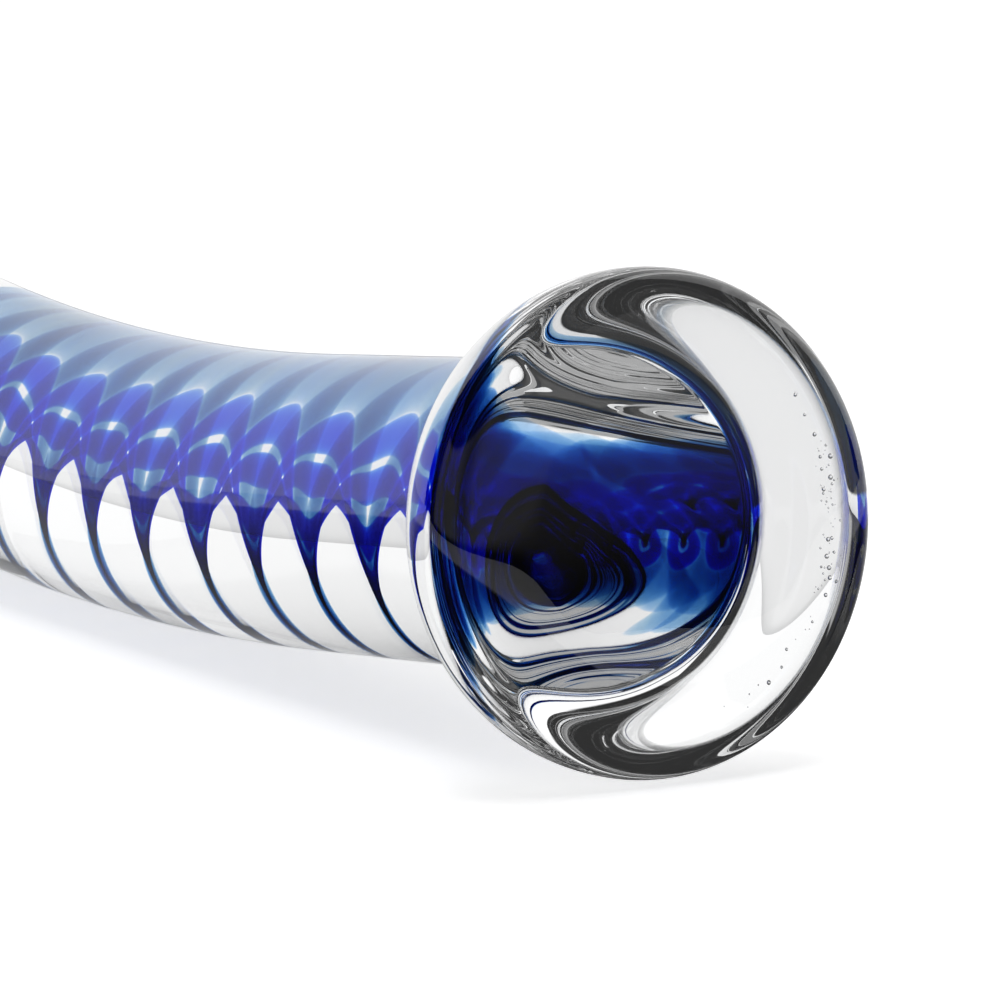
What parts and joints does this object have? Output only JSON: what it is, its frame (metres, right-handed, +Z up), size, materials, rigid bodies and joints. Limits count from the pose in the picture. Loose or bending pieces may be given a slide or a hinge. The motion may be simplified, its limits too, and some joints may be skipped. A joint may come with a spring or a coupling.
{
  "type": "curved glass wand",
  "caption": "Curved solid clear-glass wand with a twisted blue ribbon cased inside its round shaft, a flared flat-faced foot and a round far end.",
  "frame": {"origin": "centre of the bounding box's underside: the plane that the wand rests on, lying on its foot's rim and the belly of its shaft", "axes": "+X from the shaft's far end towards the foot, along the shaft seen from above; +Z up; the shaft's bend lies in the XZ plane and rises towards -X"},
  "size_m": [0.1938, 0.054, 0.0538],
  "materials": {
    "clear_glass": "fire-polished, water clear",
    "dark_blue_glass": "transparent deep cobalt blue",
    "pale_blue_glass": "transparent pale blue"
  },
  "bodies": {
    "root": {"casing": "clear_glass", "centre_thread": "clear_glass", "clear_cane_lower": "clear_glass", "clear_cane_upper": "clear_glass", "clear_thread_a": "clear_glass", "clear_thread_b": "clear_glass", "foot": "clear_glass", "inner_dark_strand_a": "dark_blue_glass", "inner_dark_strand_b": "dark_blue_glass", "outer_dark_strand_a": "dark_blue_glass", "outer_dark_strand_b": "dark_blue_glass", "pale_strand_a": "pale_blue_glass", "pale_strand_b": "pale_blue_glass", "tip": "clear_glass"}
  },
  "joints": []
}
